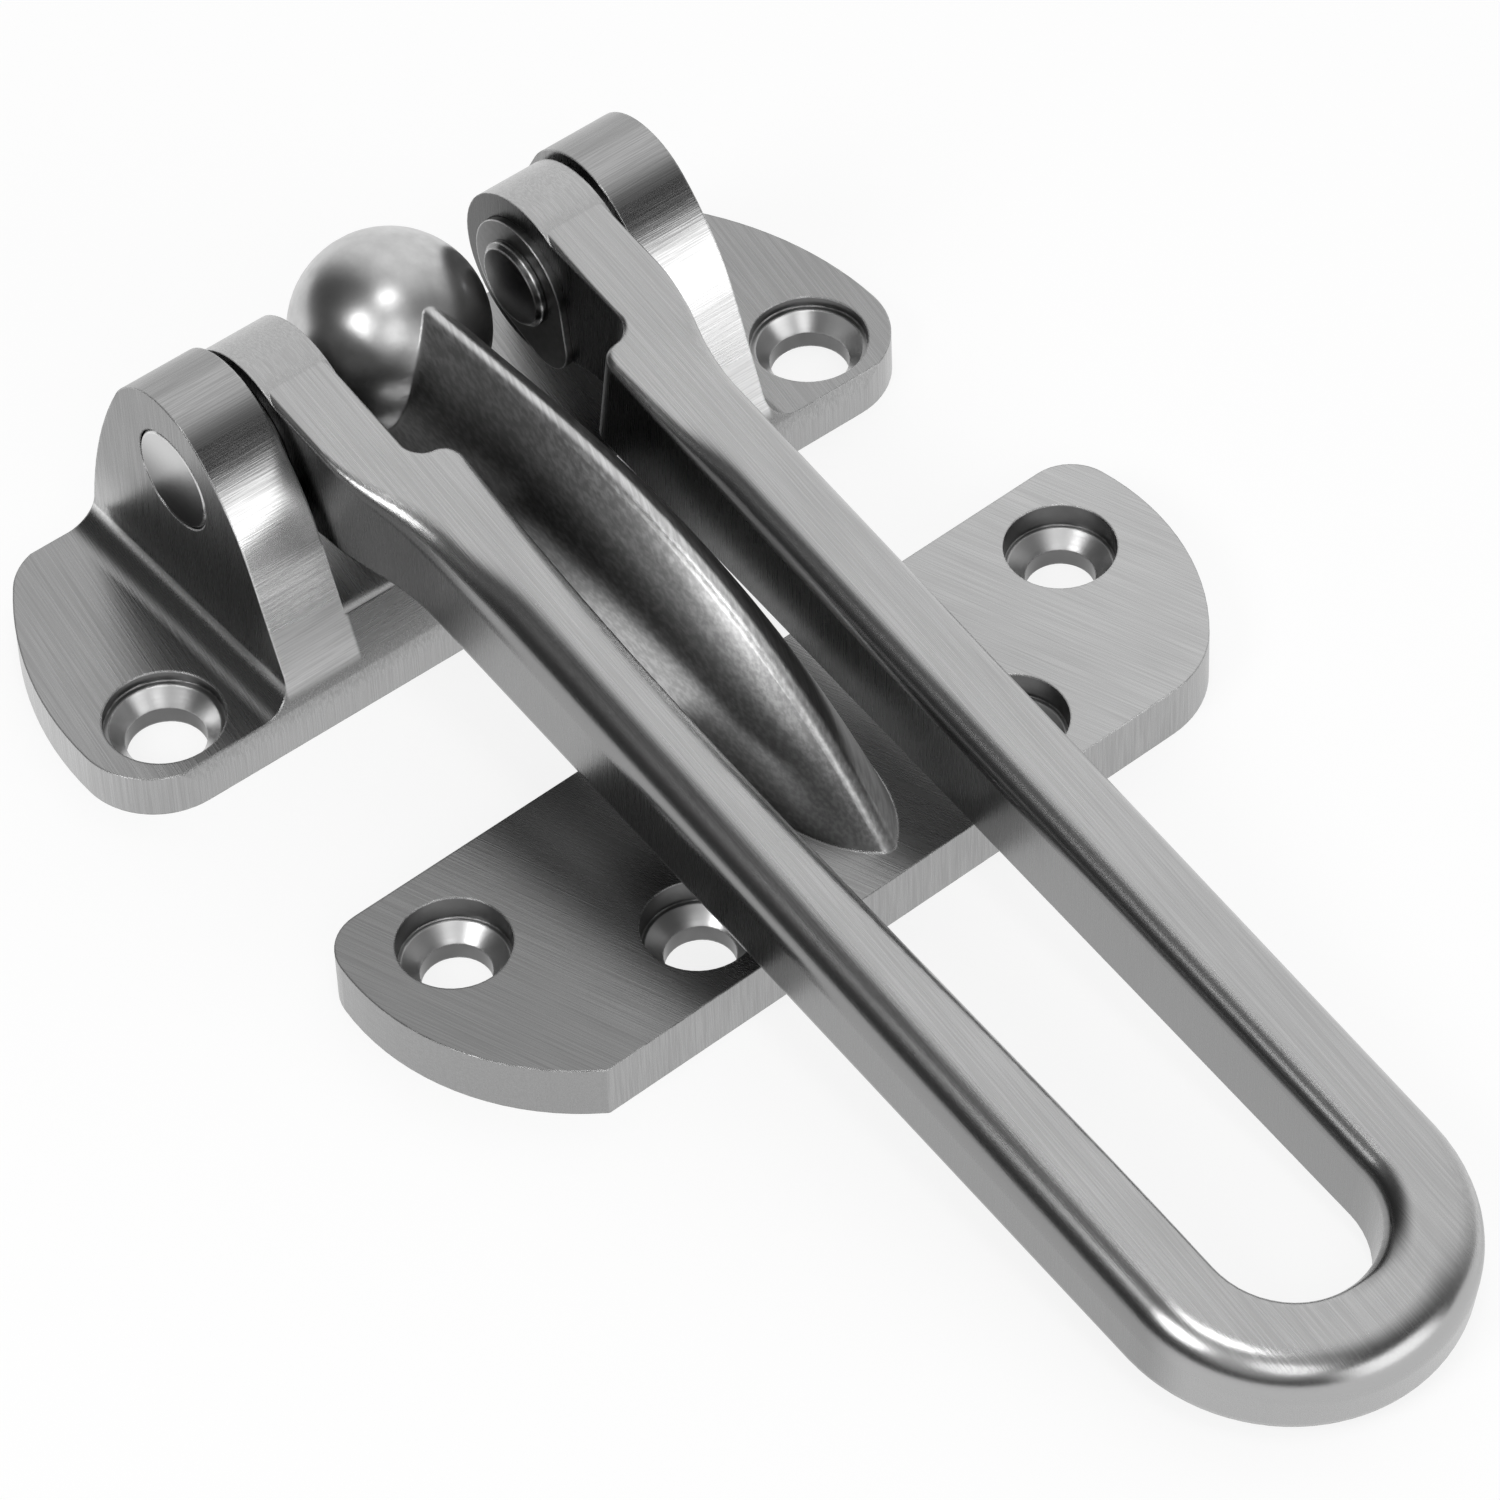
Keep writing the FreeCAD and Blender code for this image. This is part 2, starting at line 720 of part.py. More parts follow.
def make_door_plate():
    body = new_body("door_plate")
    plan = sketch_on(body, "XY_Plane", "door_plan", plate_outline("door"))
    pad(body, plan, "door_plate_pad", cell("door_thickness"))
    centres = []
    for side in (-1, 1):
        centres.append((size("door_outer_along"), side * size("door_outer_across")))
        centres.append((size("door_inner_along"), side * size("door_inner_across")))
    screw_holes(body, "door", size("door_thickness"), centres)
    start, tip = size("arm_start"), size("arm_tip")
    sketches = []
    for number in range(ARM_SECTIONS):
        place = start + (tip - start) * number / (ARM_SECTIONS - 1)
        name = f"arm_section_{number + 1}"
        sketches.append(sketch_on(body, "YZ_Plane", name, arm_section(place), (0, 0, place)))
    loft = body.newObject("PartDesign::AdditiveLoft", "arm")
    loft.Profile = sketches[0]
    loft.Sections = sketches[1:]
    under = sketch_on(body, "XZ_Plane", "under_arm_outline", under_arm_outline())
    pocket(body, under, "under_arm", f"4 * {cell('arm_half_width')}", symmetric=True)
    radius = size("ball_radius")
    half_disc = [
        Part.Arc(Vector(0, -radius, 0), Vector(-radius, 0, 0), Vector(0, radius, 0)),
        line((0, radius), (0, -radius)),
    ]
    place = (-size("ball_back"), size("ball_height"), 0)
    sketch = sketch_on(body, "XZ_Plane", "ball_profile", half_disc, place)
    ball = body.newObject("PartDesign::Revolution", "ball")
    ball.Profile = sketch
    ball.ReferenceAxis = (sketch, ["V_Axis"])
    ball.Angle = 360
    # The door half lies a little askew, turned about the middle of its ball
    turn = FreeCAD.Rotation(Vector(0, 0, 1), size("door_angle"))
    body.Placement = FreeCAD.Placement(Vector(), turn, Vector(-size("ball_back"), 0, 0))
    return body


bodies = [make_hinge_base(), make_swing_bar(), make_door_plate()]
for hand in (-1, 1):
    bodies += [make_pin(hand), make_washer(hand), make_friction_plate(hand)]
document.recompute()

# Every object must have been made, and every sub-part must be one sound solid
for item in document.Objects:
    if "Invalid" in item.State or "Error" in item.State:
        raise RuntimeError(f"{item.Name} could not be made")
for body in bodies:
    shape = body.Shape
    if shape.isNull() or not shape.isValid() or len(shape.Solids) != 1:
        raise RuntimeError(f"{body.Label} is not one sound solid")

os.makedirs("parts", exist_ok=True)
for body in bodies:
    body.Shape.exportStep(f"parts/{body.Label}.step")
    print(body.Label, round(body.Shape.Volume, 1), body.Shape.BoundBox)
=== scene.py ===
import json
import math

import bpy
from mathutils import Matrix, Vector


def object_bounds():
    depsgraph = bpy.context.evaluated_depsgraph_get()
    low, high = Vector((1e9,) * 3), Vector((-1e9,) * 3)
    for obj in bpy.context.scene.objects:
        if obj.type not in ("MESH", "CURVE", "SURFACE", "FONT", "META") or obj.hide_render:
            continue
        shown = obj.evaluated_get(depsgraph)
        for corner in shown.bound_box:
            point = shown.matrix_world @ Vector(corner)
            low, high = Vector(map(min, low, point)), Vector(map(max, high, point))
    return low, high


# A swing-bar door guard in brushed satin metal, lying closed on a pale floor.
# Metres, in the frame of the solids: +X from the hinge towards the tip of the
# bar, +Y along the hinge, +Z away from the mounting plane.

MM = 0.001

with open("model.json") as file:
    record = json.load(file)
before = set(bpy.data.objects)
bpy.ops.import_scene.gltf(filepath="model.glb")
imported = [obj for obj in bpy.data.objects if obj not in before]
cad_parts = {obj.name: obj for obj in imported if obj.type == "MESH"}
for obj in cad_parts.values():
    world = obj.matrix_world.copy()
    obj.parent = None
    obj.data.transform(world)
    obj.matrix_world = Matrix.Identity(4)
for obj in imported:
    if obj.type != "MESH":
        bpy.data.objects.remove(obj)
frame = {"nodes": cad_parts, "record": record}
nodes = frame["nodes"]
mounts = {mount["name"]: mount for mount in frame["record"]["mounts"]}
solid_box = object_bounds()
scene = bpy.context.scene

# Hinge base
BASE_THICKNESS = 3.75 * MM
EAR_INSIDE = 15.75 * MM
EAR_OUTSIDE = 22.25 * MM

# Swing bar, which droops from the hinge; its tip is round about BAR_REACH
HINGE = Vector((0.0, 0.0, 17.06)) * MM
BAR_DROOP = math.radians(9.34)
BAR_REACH = 97.1 * MM
BAR_HALF_WIDTH = 13.6 * MM
SLOT_HALF_WIDTH = 6.5 * MM
OUTER_ROUNDING = 3.6 * MM
SLOT_ROUNDING = 2.5 * MM

# Door plate, turned about the middle of its ball
DOOR_THICKNESS = 4.6 * MM
BALL = Vector((-3.66, 0.0, 15.29)) * MM
BALL_RADIUS = 7.59 * MM
rear = Vector(mounts["door_rear_screws"]["pos_m"]) - BALL
DOOR_TURN = math.atan2(rear.y, rear.x)

# Countersunk holes: radius and depth of the straight rim, depth of the seat
BASE_HOLE = (4.5 * MM, 0.95 * MM, 1.35 * MM)
DOOR_HOLE = (4.2 * MM, 2.1 * MM, 1.0 * MM)

# Brushed lines, and the relief they leave
STREAK_WIDTH = 0.10 * MM
LONG_STREAK = 9 * MM
MIDDLE_STREAK = 5 * MM
SHORT_STREAK = 4 * MM
BUMP_DEPTH = 0.03 * MM

# Rounding of the sharp edges
CAST_EDGE = 0.22 * MM
POLISHED_EDGE = 0.16 * MM
PRESSED_EDGE = 0.18 * MM

# Floor
FLOOR_SIZE = 6.0
FLOOR_GAP = 0.02 * MM
PAPER_GREY = 0.80
SHADOW_GREY = 0.22
PAPER_GLOW = 0.82

# Levels of the studio, and the side of the camera as a direction
DARK_SIDE = 0.05
PALE_SIDE = 0.92
CAMERA_GLOW = 0.50
CAMERA_SIDE = (0.47, -0.46, 0.75)
FRONT_PANEL = 2.0
WHITE = (1.0, 1.0, 1.0, 1.0)

# Soft boxes: direction from the latch, half angle in degrees, radiance
SOFT_BOXES = {
    "ceiling_box": ((0.11, -0.09, 1.0), 8, 5.5),
    "left_box": ((0.08, -0.74, 0.67), 12, 4.5),
    "right_box": ((0.68, -0.32, 0.65), 13, 1.5),
}
LAMP_AIM = Vector((0.045, 0.0, 0.01))
LAMP_DISTANCE = 1.0

# Camera, worked out from the edges in the photo
CAMERA_AZIMUTH = math.radians(53.578)
CAMERA_ELEVATION = math.radians(47.979)
CAMERA_ROLL = math.radians(2.639)
CAMERA_TARGET = Vector((0.03839, -0.00001, 0.005))
CAMERA_DISTANCE = 0.5842
FOCAL_PIXELS = 8175.3
IMAGE_PIXELS = 1500


# Node helpers

class Nodes:
    """Short calls for the nodes used here, on one node tree."""

    def __init__(self, tree):
        self.tree = tree
        self.tree.nodes.clear()

    def add(self, kind, **settings):
        node = self.tree.nodes.new("ShaderNode" + kind)
        for name, value in settings.items():
            setattr(node, name, value)
        return node

    def link(self, value, socket):
        """Joins an output to the socket, or sets the socket to a plain value."""
        if isinstance(value, (int, float, tuple)):
            socket.default_value = value
        else:
            self.tree.links.new(value, socket)

    def made(self, kind, *values, **settings):
        """The first output of a new node, with those values on its first inputs."""
        node = self.add(kind, **settings)
        for value, socket in zip(values, node.inputs):
            self.link(value, socket)
        return node.outputs[0]

    def math(self, operation, first, second=0.0):
        return self.made("Math", first, second, operation=operation)

    def minus(self, first, second):
        return self.math("SUBTRACT", first, second)

    def times(self, product, *factors):
        for factor in factors:
            product = self.math("MULTIPLY", product, factor)
        return product

    def hypotenuse(self, first, second):
        squares = self.math("ADD", self.times(first, first), self.times(second, second))
        return self.math("SQRT", squares)

    def compare(self, operation, first, second):
        """A number from two vectors, such as their distance."""
        node = self.add("VectorMath", operation=operation)
        self.link(first, node.inputs[0])
        self.link(second, node.inputs[1])
        return node.outputs["Value"]

    def split(self, vector):
        node = self.add("SeparateXYZ")
        self.link(vector, node.inputs[0])
        return node.outputs

    def rotated(self, vector, axis, angle, centre=(0.0, 0.0, 0.0)):
        """The vector turned about X, Y or Z through the centre."""
        node = self.add("VectorRotate", rotation_type=axis + "_AXIS")
        self.link(vector, node.inputs["Vector"])
        node.inputs["Center"].default_value = centre
        node.inputs["Angle"].default_value = angle
        return node.outputs[0]

    def span(self, value, low, high, curve="SMOOTHSTEP"):
        """0 below low, 1 above high; turned round where low is above high."""
        rising = low < high
        node = self.add("MapRange", interpolation_type=curve)
        self.link(value, node.inputs["Value"])
        node.inputs["From Min"].default_value = min(low, high)
        node.inputs["From Max"].default_value = max(low, high)
        node.inputs["To Min"].default_value = 0.0 if rising else 1.0
        node.inputs["To Max"].default_value = 1.0 if rising else 0.0
        return node.outputs["Result"]

    def blend(self, factor, first, second):
        """The first value where the factor is 0, the second where it is 1."""
        node = self.add("Mix", data_type="FLOAT")
        self.link(factor, node.inputs["Factor"])
        self.link(first, node.inputs["A"])
        self.link(second, node.inputs["B"])
        return node.outputs["Result"]

    def blend_vectors(self, factor, first, second):
        node = self.add("Mix", data_type="VECTOR")
        self.link(factor, node.inputs["Factor"])
        self.link(first, node.inputs[4])
        self.link(second, node.inputs[5])
        return node.outputs[1]

    def noise(self, vector, scale, detail=2.0):
        node = self.add("TexNoise")
        self.link(vector, node.inputs["Vector"])
        node.inputs["Scale"].default_value = scale
        node.inputs["Detail"].default_value = detail
        return node.outputs[0]


class Metal(Nodes):
    """A bare metal whose tone, roughness and relief are built up step by step."""

    def __init__(self, name, turn=0.0):
        """The piece is turned about Z by that angle, and its metal with it."""
        self.material = bpy.data.materials.new(name)
        self.material.use_nodes = True
        super().__init__(self.material.node_tree)
        coordinates = self.add("TexCoord")
        self.place, normal = coordinates.outputs["Object"], coordinates.outputs["Normal"]
        if turn:
            self.place = self.rotated(self.place, "Z", -turn, BALL)
            normal = self.rotated(normal, "Z", -turn)
        self.x, self.y, self.z = self.split(self.place)
        self.ahead, self.aside, self.upward = self.split(normal)
        self.tone, self.wall_painted_light, self.roughness, self.relief = 0.5, 0.5, 0.3, 0.5
        self.soft_normal, self.soft_mask = None, 0.0

    def on_top(self):
        return self.span(self.upward, 0.34, 0.60)

    def lines(self, along, tilt=0.0, width=STREAK_WIDTH, length=LONG_STREAK, place=None):
        """Streaks along X, Y or Z, turned by tilt degrees about Z; 0 to 1."""
        turn = self.add("Mapping")
        self.link(place or self.place, turn.inputs["Vector"])
        turn.inputs["Rotation"].default_value = (0.0, 0.0, -math.radians(tilt))
        shrink = self.add("Mapping")
        self.link(turn.outputs[0], shrink.inputs["Vector"])
        scale = [1.0 / width] * 3
        scale["XYZ".index(along)] = 1.0 / length
        shrink.inputs["Scale"].default_value = scale
        return self.noise(shrink.outputs[0], 1.0, 3.0)

    def grain(self, size, detail=2.0):
        """Even speckle of that size; 0 to 1."""
        return self.noise(self.place, 1.0 / size, detail)

    def cover(self, mask, tone=None, roughness=None, relief=None):
        """Lays a tone, a roughness and a relief over the mask."""
        if tone is not None:
            self.tone = self.blend(mask, self.tone, tone)
        if roughness is not None:
            self.roughness = self.blend(mask, self.roughness, roughness)
        if relief is not None:
            self.relief = self.blend(mask, self.relief, relief)

    def brush(self, top_lines, side_lines, top_painted_light, side_painted_light, front_painted_light):
        """The whole casting, brushed on top and on its walls, with painted light: the top, the
        side walls and the front walls each get their own tone by the way they face.
        """
        # Painted light: separate tones for the top, the side walls and the front walls
        self.wall_painted_light = self.blend(self.span(self.ahead, 0.15, 0.95), side_painted_light, front_painted_light)
        streaks = self.blend(self.on_top(), side_lines, top_lines)
        strong = self.span(streaks, 0.28, 0.72)
        self.tone = self.times(
            self.blend(self.on_top(), self.wall_painted_light, top_painted_light),
            self.blend(strong, 0.90, 1.09),
            self.blend(self.grain(9 * MM), 0.93, 1.07),
        )
        self.roughness = self.blend(strong, 0.31, 0.25)
        self.relief = streaks

    def screw_hole(self, centre, top, rim, rim_depth, seat_depth):
        """A hole each side of the middle: rim and bore painted dark as painted shade, and a
        bright turned seat.
        """
        far_x = self.minus(self.x, centre[0])
        far_y = self.minus(self.math("ABSOLUTE", self.y), centre[1])
        radius = self.hypotenuse(far_x, far_y)
        near = self.span(radius, rim + 0.08 * MM, rim + 0.03 * MM)
        inside = self.times(near, self.span(self.z, top - 0.08 * MM, top - 0.16 * MM))
        seat_top = top - rim_depth
        seat_end = seat_top - seat_depth
        below = self.span(self.z, seat_top + 0.02 * MM, seat_top - 0.04 * MM)
        above = self.span(self.z, seat_end - 0.03 * MM, seat_end + 0.03 * MM)
        ring_place = self.made("CombineXYZ", radius, 0.0, self.z)
        ring_lines = self.noise(ring_place, 1.0 / (0.5 * MM), 1.0)
        soft = self.grain(3 * MM)
        seat_tone = self.blend(soft, self.blend(ring_lines, 0.50, 0.62), 0.80)
        # Painted shade: the rim and the bore much darker than the metal around the hole
        painted_hole_shade = self.blend(soft, 0.10, 0.22)
        tone = self.blend(self.times(below, above), painted_hole_shade, seat_tone)
        self.cover(inside, tone, roughness=0.30, relief=ring_lines)

    def finish(self, strength, edge_wear_and_highlight, edge_radius=CAST_EDGE, patchy=True):
        """Rounds the sharp edges and paints them lighter, as rubbed wear where patchy and as a
        painted highlight all along them where not, and makes the metal.
        """
        normal = self.made("Bevel", edge_radius, samples=4)
        facing = self.add("NewGeometry").outputs["Normal"]
        edge = self.span(self.compare("DOT_PRODUCT", normal, facing), 0.985, 0.90)
        # Edges painted lighter: in patches as rubbed wear where patchy, all along as a painted
        # highlight otherwise
        if patchy:
            edge = self.times(edge, self.span(self.grain(1.5 * MM), 0.35, 0.6))
        self.cover(edge, edge_wear_and_highlight)
        if self.soft_normal is not None:
            normal = self.blend_vectors(self.soft_mask, normal, self.soft_normal)
        bump = self.add("Bump")
        bump.inputs["Strength"].default_value = strength
        bump.inputs["Distance"].default_value = BUMP_DEPTH
        self.link(self.relief, bump.inputs["Height"])
        self.link(normal, bump.inputs["Normal"])
        colour = self.made("CombineColor", self.tone, self.tone, self.tone)
        surface = self.add("BsdfPrincipled")
        surface.inputs["Metallic"].default_value = 1.0
        self.link(colour, surface.inputs["Base Color"])
        self.link(self.roughness, surface.inputs["Roughness"])
        self.link(bump.outputs[0], surface.inputs["Normal"])
        self.link(surface.outputs[0], self.add("OutputMaterial").inputs["Surface"])
        return self.material


# Metals of the pieces

def base_material():
    metal = Metal("base_metal")
    flange = metal.lines("X", tilt=-10)
    across = metal.lines("Y", length=MIDDLE_STREAK)
    on_ear = metal.span(metal.z, BASE_THICKNESS + 0.4 * MM, BASE_THICKNESS + 1.5 * MM)
    in_front = metal.span(metal.ahead, 0.02, 0.12)
    upright = metal.lines("Z", length=SHORT_STREAK)
    ear_lines = metal.blend(in_front, upright, across)
    # Painted light: the top, walls and fronts get their own tones, the side walls lighter low
    # down and darker high up the ears
    metal.brush(
        metal.blend(on_ear, flange, across),
        metal.blend(on_ear, metal.lines("Z"), ear_lines),
        top_painted_light=0.36,
        side_painted_light=metal.blend(metal.span(metal.z, 5 * MM, 13 * MM), 0.46, 0.28),
        front_painted_light=0.40,
    )
    # The curved fronts of the ears, brushed across, with painted light: lighter where they drop
    streaks = metal.span(across, 0.3, 0.7)
    drop = metal.span(metal.upward, 0.66, 0.42)
    # Painted light: the dropping part of the ear fronts near white
    drop_painted_light = metal.blend(metal.span(metal.z, 4 * MM, 12 * MM), 0.95, 0.92)
    tone = metal.times(metal.blend(drop, 0.44, drop_painted_light), metal.blend(streaks, 0.82, 1.06))
    high = metal.span(metal.z, 6 * MM, 13 * MM)
    roughness = metal.blend(high, 0.36, metal.blend(streaks, 0.26, 0.18))
    outside = metal.math("ABSOLUTE", metal.y)
    soft = 0.15 * MM
    fronts = metal.times(
        metal.span(metal.ahead, -0.12, 0.0),
        metal.span(metal.upward, 0.25, 0.34),
        metal.span(outside, EAR_INSIDE - soft, EAR_INSIDE + soft),
        metal.span(outside, EAR_OUTSIDE + soft, EAR_OUTSIDE - soft),
        on_ear,
    )
    metal.cover(fronts, tone, roughness)
    hole = mounts["base_screws"]
    centre = (hole["pos_m"][0], hole["dims"]["spacing_y_mm"] * MM / 2)
    metal.screw_hole(centre, BASE_THICKNESS, *BASE_HOLE)
    return metal.finish(0.25, edge_wear_and_highlight=0.62)


def round_bar_edges(metal, level, top_lines):
    """Lets the light run softly over the polished edges of the bar's legs and tip."""
    along, aside, _ = metal.split(level)
    past = metal.math("MAXIMUM", metal.minus(along, BAR_REACH), 0.0)
    radius = metal.hypotenuse(past, aside)
    # The sine of the lean is 1 at a wall and falls evenly to 0 over the rounding
    outer = metal.span(metal.minus(BAR_HALF_WIDTH, radius), OUTER_ROUNDING, 0.0, "LINEAR")
    inner = metal.span(metal.minus(radius, SLOT_HALF_WIDTH), SLOT_ROUNDING, 0.0, "LINEAR")
    lean = metal.minus(outer, inner)
    share = metal.math("DIVIDE", lean, radius)
    rise = metal.math("SQRT", metal.minus(1.0, metal.times(lean, lean)))
    wanted = metal.made("CombineXYZ", metal.times(past, share), metal.times(aside, share), rise)
    metal.soft_normal = metal.made(
        "VectorTransform", metal.rotated(wanted, "Y", BAR_DROOP),
        vector_type="NORMAL", convert_from="OBJECT", convert_to="WORLD",
    )
    # Not so on the edges that face +Y, which stay crisper, nor near the eyes
    facing = metal.math("DIVIDE", aside, radius)
    middle = (BAR_HALF_WIDTH + SLOT_HALF_WIDTH) / 2
    soft = metal.times(
        metal.span(along, 18 * MM, 28 * MM),
        metal.blend(
            metal.math("GREATER_THAN", radius, middle),
            metal.span(facing, -0.2, 0.5),
            metal.span(facing, 0.9, 0.4),
        ),
    )
    metal.soft_mask = metal.times(soft, metal.span(metal.upward, 0.04, 0.30))
    steepness = metal.math("ABSOLUTE", lean)
    steep = metal.times(soft, metal.span(steepness, 0.45, 0.75))
    # Painted light on the steep part of the soft edges: the walls' painted tone, lighter where
    # it faces +X
    steep_painted_light = metal.blend(metal.span(metal.ahead, 0.1, 0.4), metal.wall_painted_light, 0.44)
    metal.cover(steep, steep_painted_light)
    # Fine pits where the edges were polished
    pits = metal.grain(0.25 * MM, 3.0)
    relief = metal.blend(0.5, 0.5, metal.blend(0.2, top_lines, pits))
    soft_edge = metal.times(metal.soft_mask, metal.span(steepness, 0.02, 0.30))
    metal.cover(soft_edge, roughness=metal.blend(pits, 0.20, 0.28), relief=relief)


def bar_material():
    metal = Metal("bar_metal")
    # The bar turned level about the hinge
    level = metal.rotated(metal.place, "Y", -BAR_DROOP, HINGE)
    top_lines = metal.lines("X", tilt=-2, place=level)
    side_lines = metal.lines("Z", length=SHORT_STREAK)
    # Painted light: the top lighter than the side walls and the front
    metal.brush(top_lines, side_lines, top_painted_light=0.49, side_painted_light=0.29, front_painted_light=0.38)
    # The tip is brushed round its wall, and the walls are painted darker towards the hinge as
    # painted shade
    wall = metal.minus(1.0, metal.on_top())
    at_tip = metal.times(wall, metal.span(metal.ahead, 0.2, 0.5))
    round_tip = metal.lines("Y", width=0.12 * MM, length=6 * MM)
    metal.cover(at_tip, relief=metal.blend(0.6, 0.5, round_tip))
    # Painted shade: walls dark near the hinge, fading out towards the tip
    metal.cover(metal.times(wall, metal.span(metal.x, 60 * MM, 12 * MM)), tone=0.11)
    round_bar_edges(metal, level, top_lines)
    return metal.finish(0.30, edge_wear_and_highlight=0.62, edge_radius=POLISHED_EDGE)


def plate_material():
    metal = Metal("plate_metal", DOOR_TURN)
    top_lines = metal.lines("X", tilt=18)
    side_lines = metal.lines("Z", length=SHORT_STREAK)
    # Painted light: the top lighter towards its right end, and the walls given their own tones
    top_painted_light = metal.blend(metal.span(metal.y, -32 * MM, 34 * MM), 0.26, 0.54)
    metal.brush(top_lines, side_lines, top_painted_light, side_painted_light=0.30, front_painted_light=0.38)
    # The curved end walls, brushed along
    ends = metal.times(
        metal.span(metal.math("ABSOLUTE", metal.aside), 0.25, 0.55),
        metal.span(metal.z, DOOR_THICKNESS + 0.05 * MM, DOOR_THICKNESS - 0.05 * MM),
        metal.span(metal.upward, 0.4, 0.2),
    )
    metal.cover(ends, metal.blend(metal.lines("X", length=SHORT_STREAK), 0.28, 0.40))
    # The arm, with painted light: a lighter ridge over flanks painted darker, most where they
    # face +X; the flanks carry lighter scratches
    arm = metal.span(metal.z, DOOR_THICKNESS + 0.1 * MM, DOOR_THICKNESS + 0.4 * MM)
    flank = metal.span(metal.upward, 0.90, 0.58)
    # Painted light: flank tone set by the way the flank faces
    flank_painted_light = metal.blend(metal.span(metal.ahead, 0.10, 0.45), 0.46, 0.30)
    scratches = metal.lines("X", tilt=-25, width=0.3 * MM)
    bright = metal.blend(metal.span(scratches, 0.35, 0.7), 0.85, 1.2)
    metal.cover(
        arm,
        metal.times(metal.blend(flank, 0.62, flank_painted_light), bright),
        metal.blend(scratches, 0.30, 0.38),
        metal.blend(0.35, 0.5, scratches),
    )
    # The ball, polished in soft patches
    reach = metal.compare("DISTANCE", metal.place, tuple(BALL))
    swirl = metal.grain(1.6 * MM, 4.0)
    metal.cover(
        metal.span(reach, BALL_RADIUS + 0.5 * MM, BALL_RADIUS + 0.05 * MM),
        metal.blend(swirl, 0.44, 0.74),
        metal.blend(swirl, 0.38, 0.27),
        metal.blend(0.4, swirl, metal.grain(0.3 * MM)),
    )
    for name in ("door_rear_screws", "door_front_screws"):
        hole = mounts[name]
        out = (Vector(hole["pos_m"][:2]) - BALL.xy).length
        centre = (BALL.x + out, hole["dims"]["pcd_mm"] * MM / 2)
        metal.screw_hole(centre, DOOR_THICKNESS, *DOOR_HOLE)
    return metal.finish(0.25, edge_wear_and_highlight=0.60)


def pin_material():
    metal = Metal("pin_metal")
    speckle = metal.grain(0.35 * MM)
    # Painted light and shade: the inner ends dark as painted shade inside the hinge, the outer
    # ends lighter towards the top
    outer = metal.span(metal.math("ABSOLUTE", metal.y), 15 * MM, 16 * MM)
    outer_painted_light = metal.blend(metal.span(metal.z, 14.2 * MM, 20.0 * MM), 0.16, 0.58)
    metal.tone = metal.blend(outer, metal.blend(speckle, 0.16, 0.28), outer_painted_light)
    metal.roughness = metal.blend(speckle, 0.16, 0.26)
    metal.relief = speckle
    return metal.finish(0.10, edge_wear_and_highlight=0.95, patchy=False)


def pressed_material():
    metal = Metal("pressed_metal")
    speckle = metal.grain(0.5 * MM)
    # Painted shade: dark all over, as inside the hinge
    metal.tone = metal.blend(speckle, 0.14, 0.26)
    metal.roughness = metal.blend(speckle, 0.25, 0.38)
    metal.relief = speckle
    return metal.finish(0.15, edge_wear_and_highlight=0.9, edge_radius=PRESSED_EDGE, patchy=False)


def give(material, *names):
    for name in names:
        piece = nodes[name]
        piece.data.materials.clear()
        piece.data.materials.append(material)


# Floor and studio

def pale_floor():
    """White in the camera and in reflections, where it keeps the latch's shadow."""
    low = solid_box[0][2] - FLOOR_GAP
    bpy.ops.mesh.primitive_plane_add(size=FLOOR_SIZE, location=(0.0, 0.0, low))
    floor = bpy.context.object
    floor.name = "floor"
    material = bpy.data.materials.new("floor_paper")
    material.use_nodes = True
    paper = Nodes(material.node_tree)
    path = paper.add("LightPath").outputs
    seen = paper.math("MAXIMUM", path["Is Camera Ray"], path["Is Glossy Ray"])
    seen = paper.math("MAXIMUM", seen, path["Is Transmission Ray"])
    lit = paper.made("BsdfDiffuse", (PAPER_GREY, PAPER_GREY, PAPER_GREY, 1.0))
    shaded = paper.made("BsdfDiffuse", (SHADOW_GREY, SHADOW_GREY, SHADOW_GREY, 1.0))
    white = paper.made("AddShader", shaded, paper.made("Emission", WHITE, PAPER_GLOW))
    choice = paper.made("MixShader", seen, lit, white)
    paper.link(choice, paper.add("OutputMaterial").inputs["Surface"])
    floor.data.materials.append(material)


def studio_world():
    """A large pale side behind the latch, a dark side opposite, and a front panel."""
    world = bpy.data.worlds.new("studio")
    scene.world = world
    world.use_nodes = True
    sky = Nodes(world.node_tree)
    direction = sky.add("TexCoord").outputs["Generated"]
    x, y, z = sky.split(direction)
    behind = sky.times(sky.span(x, 0.72, -0.22), sky.span(y, -0.30, 0.28))
    level = sky.blend(behind, DARK_SIDE, PALE_SIDE)
    camera_side = sky.span(sky.compare("DOT_PRODUCT", direction, CAMERA_SIDE), 0.75, 0.95)
    level = sky.math("ADD", level, sky.times(camera_side, CAMERA_GLOW))
    front = sky.times(
        sky.span(x, 0.66, 0.80), sky.span(y, -0.30, 0.15), sky.span(z, 0.50, 0.42),
    )
    light = sky.made("Background", WHITE, sky.blend(front, level, FRONT_PANEL))
    sky.link(light, sky.add("OutputWorld").inputs["Surface"])


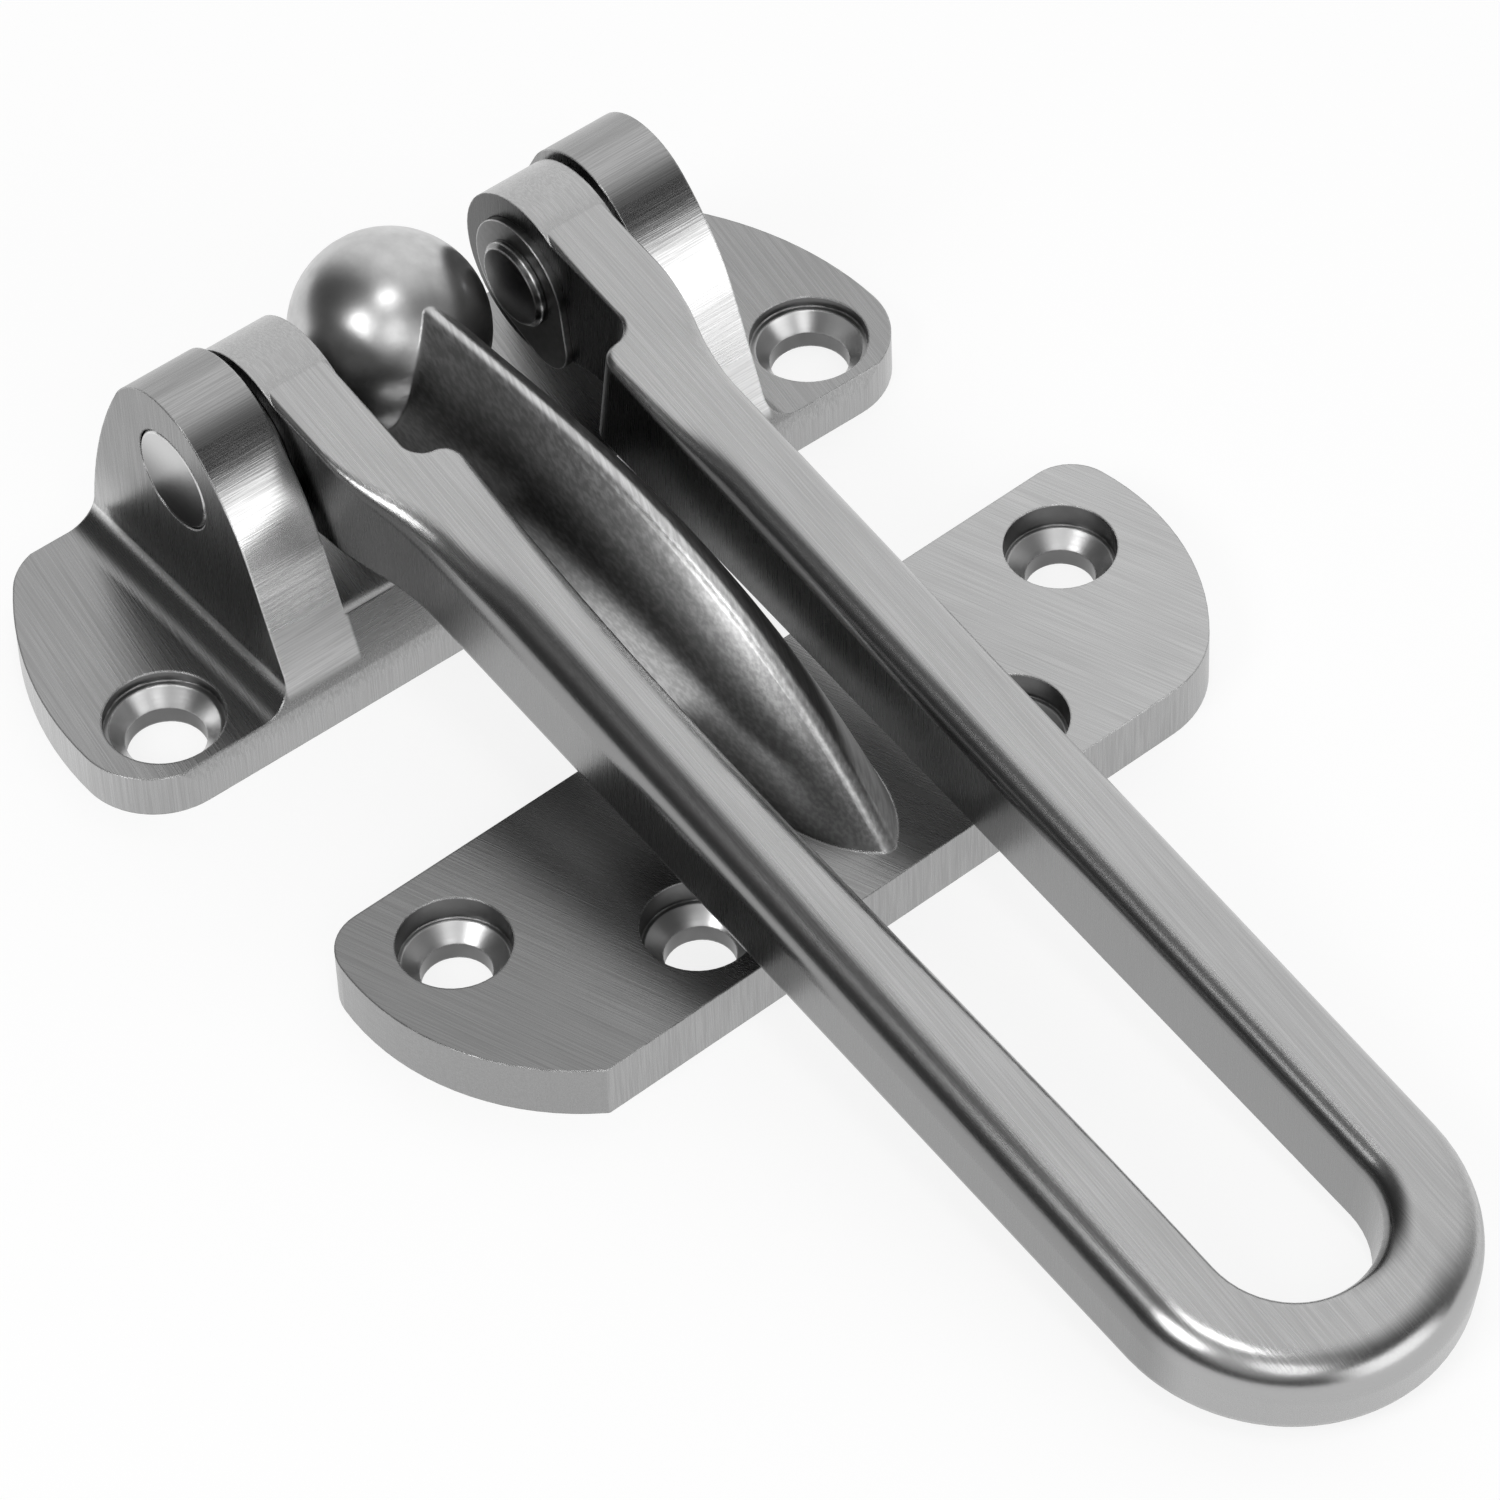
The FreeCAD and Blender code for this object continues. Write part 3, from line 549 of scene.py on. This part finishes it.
def soft_box(name, direction, half_angle, radiance):
    """A round lamp seen from the latch in that direction, with that half angle."""
    towards = Vector(direction).normalized()
    radius = LAMP_DISTANCE * math.tan(math.radians(half_angle))
    data = bpy.data.lights.new(name, "AREA")
    data.shape = "DISK"
    data.size = 2 * radius
    data.energy = radiance * math.pi * math.pi * radius ** 2
    lamp = bpy.data.objects.new(name, data)
    scene.collection.objects.link(lamp)
    lamp.location = LAMP_AIM + towards * LAMP_DISTANCE
    lamp.rotation_mode = "QUATERNION"
    lamp.rotation_quaternion = (-towards).to_track_quat("-Z", "Y")
    lamp.visible_camera = False


def studio_camera():
    """The photo's view."""
    level = math.cos(CAMERA_ELEVATION)
    back = Vector((
        math.sin(CAMERA_AZIMUTH) * level,
        -math.cos(CAMERA_AZIMUTH) * level,
        math.sin(CAMERA_ELEVATION),
    ))
    forward = -back
    right = forward.cross(Vector((0, 0, 1))).normalized()
    down = forward.cross(right)
    rolled_right = right * math.cos(CAMERA_ROLL) + down * math.sin(CAMERA_ROLL)
    rolled_down = down * math.cos(CAMERA_ROLL) - right * math.sin(CAMERA_ROLL)
    data = bpy.data.cameras.new("camera")
    data.sensor_fit = "HORIZONTAL"
    data.sensor_width = 36.0
    data.lens = FOCAL_PIXELS / IMAGE_PIXELS * data.sensor_width
    data.clip_start = 0.01
    data.clip_end = 20.0
    camera = bpy.data.objects.new("camera", data)
    scene.collection.objects.link(camera)
    turn = Matrix((rolled_right, -rolled_down, back)).transposed()
    place = Matrix.Translation(CAMERA_TARGET + back * CAMERA_DISTANCE)
    camera.matrix_world = place @ turn.to_4x4()
    scene.camera = camera


give(base_material(), "hinge_base")
give(bar_material(), "swing_bar")
give(plate_material(), "door_plate")
give(pin_material(), "left_hinge_pin", "right_hinge_pin")
give(
    pressed_material(),
    "left_friction_plate", "right_friction_plate", "left_spacer_washer", "right_spacer_washer",
)
pale_floor()
studio_world()
for name, settings in SOFT_BOXES.items():
    soft_box(name, *settings)
studio_camera()

scene.view_settings.view_transform = "Standard"
